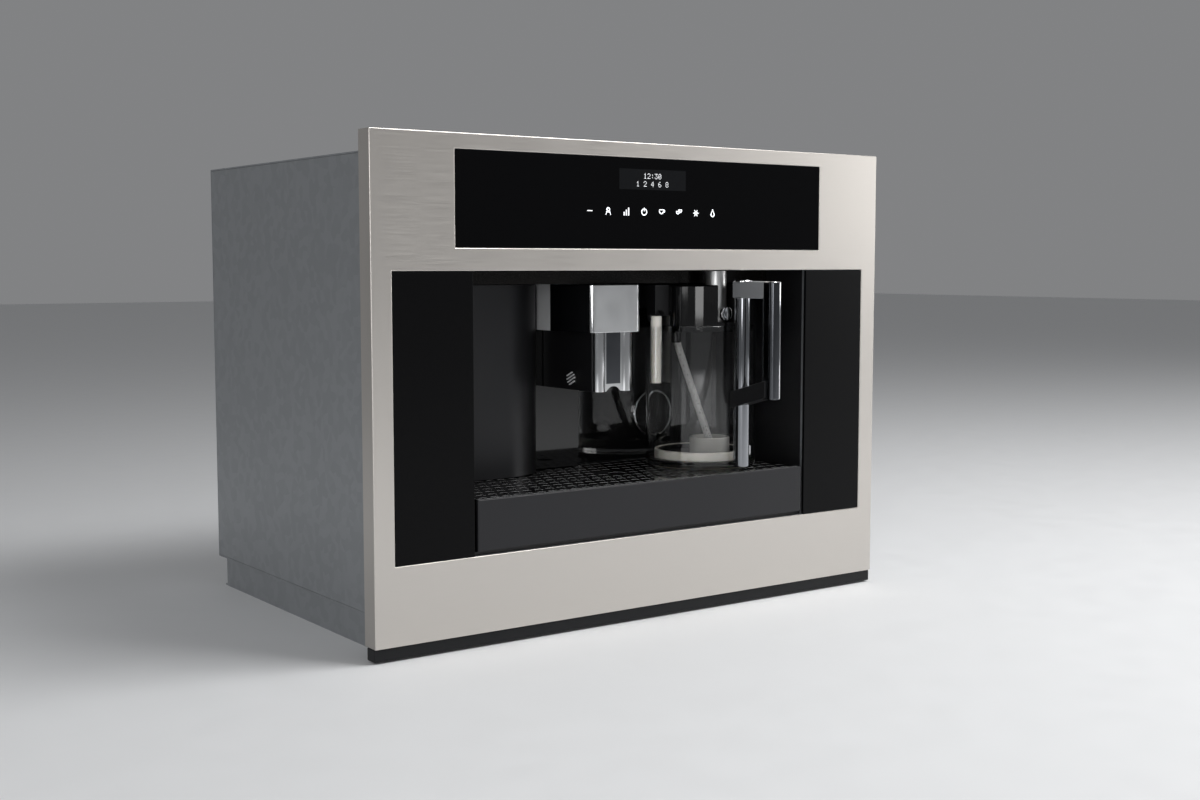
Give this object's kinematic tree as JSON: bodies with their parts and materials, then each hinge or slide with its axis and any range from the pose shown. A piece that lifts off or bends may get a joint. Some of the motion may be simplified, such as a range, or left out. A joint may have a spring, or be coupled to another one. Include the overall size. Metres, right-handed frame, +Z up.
{
  "type": "built-in coffee machine",
  "caption": "Built-in coffee machine with a steel front, touch controls, a hinged service door with sliding coffee spout, a docking milk jug and a pull-out drip tray, on telescopic rails.",
  "frame": {"origin": "centre of the mounting plate's underside, on the niche floor", "axes": "+X to the right seen from the front, +Y into the cabinet, +Z up"},
  "size_m": [0.595, 0.4413, 0.455],
  "materials": {
    "steel_front": "fine satin",
    "black_glass": "polished, back-painted black",
    "black_panel": "gloss",
    "dark_trim": "satin",
    "black_plastic": "satin",
    "circuit_board": "solder mask",
    "header_dark": "satin",
    "black_gloss": "high gloss",
    "chrome": "mirror",
    "polished_steel": "polished",
    "door_dark": "satin dark grey",
    "tray_satin": "satin dark grey",
    "float_red": "gloss",
    "clear_glass": "clear",
    "cream_plastic": "gloss",
    "clear_tube": "translucent",
    "zinc_sheet": "zinc-plated sheet",
    "smoked_plastic": "smoked translucent",
    "grey_plastic": "matt",
    "cast_aluminium": "as cast",
    "pump_body": "matt",
    "hose_rubber": "silicone",
    "clear_plastic": "translucent"
  },
  "bodies": {
    "cabinet_side": {"mounting_plate": "zinc_sheet", "outer_rails": "zinc_sheet"},
    "rail_middle": {"middle_rails": "zinc_sheet"},
    "machine": {"inner_rails": "zinc_sheet", "chassis_base": "zinc_sheet", "left_side_panel": "zinc_sheet", "right_side_panel": "zinc_sheet", "rear_panel": "zinc_sheet", "top_panel": "zinc_sheet", "panel_screws": "polished_steel", "front_frame": "black_plastic", "fascia": "steel_front", "control_glass": "black_glass", "control_board": "circuit_board", "bottom_trim": "dark_trim", "flank_panels": "black_panel", "recess_liner": "black_plastic", "recess_header": "header_dark", "recess_back_wall": "black_gloss", "steam_nozzle": "polished_steel", "door_hinge_pins": "polished_steel", "equipment_deck": "zinc_sheet", "bean_hopper": "smoked_plastic", "grinder_body": "grey_plastic", "grinder_burrs": "polished_steel", "brew_unit": "grey_plastic", "brew_drive": "black_plastic", "grounds_container": "black_plastic", "steam_boiler": "cast_aluminium", "coffee_boiler": "cast_aluminium", "pump": "pump_body", "power_board": "circuit_board", "water_hoses": "hose_rubber", "mains_inlet": "black_plastic"},
    "release_button": {"release_button": "chrome"},
    "service_door": {"door_shell": "door_dark", "door_inner_panel": "black_plastic", "spout_housing": "chrome"},
    "coffee_spout": {"nozzle_cover": "chrome", "spout_carriage": "black_plastic"},
    "drip_tray": {"drip_tray_front": "tray_satin", "drip_tray_bin": "black_plastic", "drip_grille": "black_gloss"},
    "tray_float": {"drip_float": "float_red"},
    "milk_jug": {"jug_glass": "clear_glass", "jug_base": "cream_plastic", "jug_lid": "black_gloss", "frother_head": "black_gloss", "milk_intake_tube": "clear_tube", "jug_handle_column": "chrome", "jug_handle_grip": "chrome"},
    "froth_knob": {"froth_knob": "chrome"},
    "milk_spout": {"milk_spout": "cream_plastic"},
    "water_tank": {"water_tank": "clear_plastic", "tank_lid": "grey_plastic"},
    "hopper_lid": {"hopper_lid": "smoked_plastic"},
    "powder_lid": {"powder_lid": "black_plastic"},
    "grind_knob": {"grind_knob": "black_plastic"},
    "power_switch": {"power_switch": "float_red"}
  },
  "joints": [
    {"name": "machine_slide", "type": "slide", "parent": "cabinet_side", "child": "machine", "axis": [0, -1, 0], "range_m": [0, 0.32]},
    {"name": "rail_slide", "type": "slide", "parent": "cabinet_side", "child": "rail_middle", "axis": [0, -1, 0], "range_m": [0, 0.16]},
    {"name": "door_hinge", "type": "hinge", "parent": "machine", "child": "service_door", "pos_m": [-0.193, -0.106, 0.2], "axis": [0, 0, -1], "range_deg": [0, 90]},
    {"name": "spout_slide", "type": "slide", "parent": "service_door", "child": "coffee_spout", "axis": [0, 0, 1], "range_m": [0, 0.038]},
    {"name": "tray_slide", "type": "slide", "parent": "machine", "child": "drip_tray", "axis": [0, -1, 0], "range_m": [0, 0.14]},
    {"name": "float_slide", "type": "slide", "parent": "drip_tray", "child": "tray_float", "axis": [0, 0, 1], "range_m": [0, 0.004]},
    {"name": "jug_slide", "type": "slide", "parent": "machine", "child": "milk_jug", "axis": [0, -1, 0], "range_m": [0, 0.1]},
    {"name": "froth_knob_turn", "type": "hinge", "parent": "milk_jug", "child": "froth_knob", "pos_m": [0.113, -0.182, 0.292], "axis": [0, -1, 0], "range_deg": [0, 180]},
    {"name": "milk_spout_swing", "type": "hinge", "parent": "milk_jug", "child": "milk_spout", "pos_m": [0.057, -0.142, 0.289], "axis": [0, 1, 0], "range_deg": [0, 20]},
    {"name": "release_press", "type": "slide", "parent": "machine", "child": "release_button", "axis": [0, 1, 0], "range_m": [0, 0.0025], "stiffness_N_per_m": 300},
    {"name": "tank_slide", "type": "slide", "parent": "machine", "child": "water_tank", "axis": [1, 0, 0], "range_m": [0, 0.085]},
    {"name": "hopper_lid_hinge", "type": "hinge", "parent": "machine", "child": "hopper_lid", "pos_m": [-0.085, 0.166, 0.4429], "axis": [-1, 0, 0], "range_deg": [0, 95]},
    {"name": "powder_lid_hinge", "type": "hinge", "parent": "machine", "child": "powder_lid", "pos_m": [-0.045, -0.008, 0.4429], "axis": [-1, 0, 0], "range_deg": [0, 95]},
    {"name": "grind_knob_turn", "type": "hinge", "parent": "machine", "child": "grind_knob", "pos_m": [0.03, 0.116, 0.444], "axis": [0, 0, 1], "range_deg": [-135, 135]},
    {"name": "power_switch_rock", "type": "hinge", "parent": "machine", "child": "power_switch", "pos_m": [-0.183, 0.186, 0.07], "axis": [1, 0, 0], "range_deg": [-8, 8]}
  ],
  "couplings": [
    {"joint": "rail_slide", "follows": "machine_slide", "ratio": 0.5}
  ]
}
